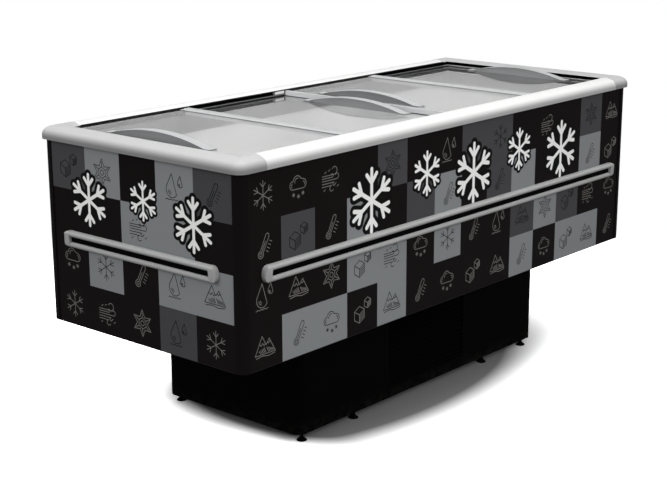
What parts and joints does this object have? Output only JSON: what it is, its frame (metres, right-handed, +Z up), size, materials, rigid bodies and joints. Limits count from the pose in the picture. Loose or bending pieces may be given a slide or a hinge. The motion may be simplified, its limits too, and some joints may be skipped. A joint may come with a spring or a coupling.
{
  "type": "island chest freezer",
  "caption": "Island chest freezer: rectangular insulated tub on a recessed plinth, with a rounded top frame, sliding glass lids with bow handles, and bumper rails.",
  "frame": {"origin": "middle of the footprint at floor level, under the feet", "axes": "+X along the tub, -Y the long side that faces the shopper, +Z up"},
  "size_m": [1.9, 0.796, 0.9095],
  "materials": {
    "cladding": "printed film in black, dark grey and mid grey squares, satin",
    "black_trim": "satin black",
    "white_profile": "glossy white",
    "cap_grey": "light grey moulding, satin gloss",
    "rail_grey": "grey extrusion, semi-gloss",
    "black_plastic": "black, fine grained",
    "liner_white": "pre-painted aluminium sheet",
    "collar_grey": "mid grey moulding",
    "foam": null,
    "galvanised": "galvanised sheet steel",
    "plinth_black": "fine textured black powder coat",
    "copper": "drawn copper tube",
    "aluminium_fin": "mill finish",
    "shell_black": "gloss black enamel",
    "rubber_black": "matte",
    "white_plastic": "white moulding",
    "glass": "clear tempered glass with a low-emissivity coat",
    "lid_trim": "light grey extrusion, satin",
    "handle_grey": "light grey moulding, satin"
  },
  "bodies": {
    "cabinet": {"tub_liner": "liner_white", "foam_insulation": "foam", "front_panel": "cladding", "back_panel": "cladding", "left_panel": "cladding", "right_panel": "cladding", "corner_trims": "black_trim", "tub_bottom_pan": "galvanised", "inner_collar": "collar_grey", "evaporator_coil": "aluminium_fin", "drain_plug": "white_plastic", "drain_pipe": "white_plastic", "frame_end_cap_left": "cap_grey", "frame_end_cap_right": "cap_grey", "frame_profile_front": "white_profile", "frame_profile_back": "white_profile", "track_liner_front": "black_plastic", "track_liner_back": "black_plastic", "track_liner_left": "black_plastic", "track_liner_right": "black_plastic", "lid_stop_clips": "white_plastic", "bumper_rail_front": "rail_grey", "bumper_rail_back": "rail_grey", "bumper_rail_left": "rail_grey", "bumper_rail_right": "rail_grey", "bumper_inserts": "black_plastic", "bumper_end_caps": "rail_grey", "plinth_end_left": "plinth_black", "plinth_end_right": "plinth_black", "plinth_panel_front": "plinth_black", "plinth_panel_back": "plinth_black", "grille_front": "black_plastic", "grille_back": "black_plastic", "base_frame": "galvanised", "levelling_feet": "black_plastic", "foot_locknuts": "galvanised", "machine_tray": "galvanised", "compressor": "shell_black", "compressor_mounts": "rubber_black", "terminal_box": "white_plastic", "condenser": "aluminium_fin", "fan_shroud": "galvanised", "fan_motor": "shell_black", "motor_bracket": "galvanised", "filter_drier": "copper", "refrigerant_pipes": "copper", "mains_gland": "black_plastic"},
    "fan": {"condenser_fan": "aluminium_fin"},
    "lid_left_outer": {"glass_left_outer": "glass", "trim_left_outer": "lid_trim", "handle_left_outer": "handle_grey"},
    "lid_left_inner": {"glass_left_inner": "glass", "trim_left_inner": "lid_trim", "handle_left_inner": "handle_grey"},
    "lid_right_inner": {"glass_right_inner": "glass", "trim_right_inner": "lid_trim", "handle_right_inner": "handle_grey"},
    "lid_right_outer": {"glass_right_outer": "glass", "trim_right_outer": "lid_trim", "handle_right_outer": "handle_grey"}
  },
  "joints": [
    {"name": "slide_left_outer", "type": "slide", "parent": "cabinet", "child": "lid_left_outer", "axis": [1, 0, 0], "range_m": [0, 0.18]},
    {"name": "slide_left_inner", "type": "slide", "parent": "cabinet", "child": "lid_left_inner", "axis": [1, 0, 0], "range_m": [-0.18, 0]},
    {"name": "slide_right_inner", "type": "slide", "parent": "cabinet", "child": "lid_right_inner", "axis": [1, 0, 0], "range_m": [0, 0.18]},
    {"name": "slide_right_outer", "type": "slide", "parent": "cabinet", "child": "lid_right_outer", "axis": [1, 0, 0], "range_m": [-0.18, 0]},
    {"name": "fan_spin", "type": "hinge", "parent": "cabinet", "child": "fan", "pos_m": [0, 0, 0.154], "axis": [0, 1, 0], "continuous": true}
  ]
}
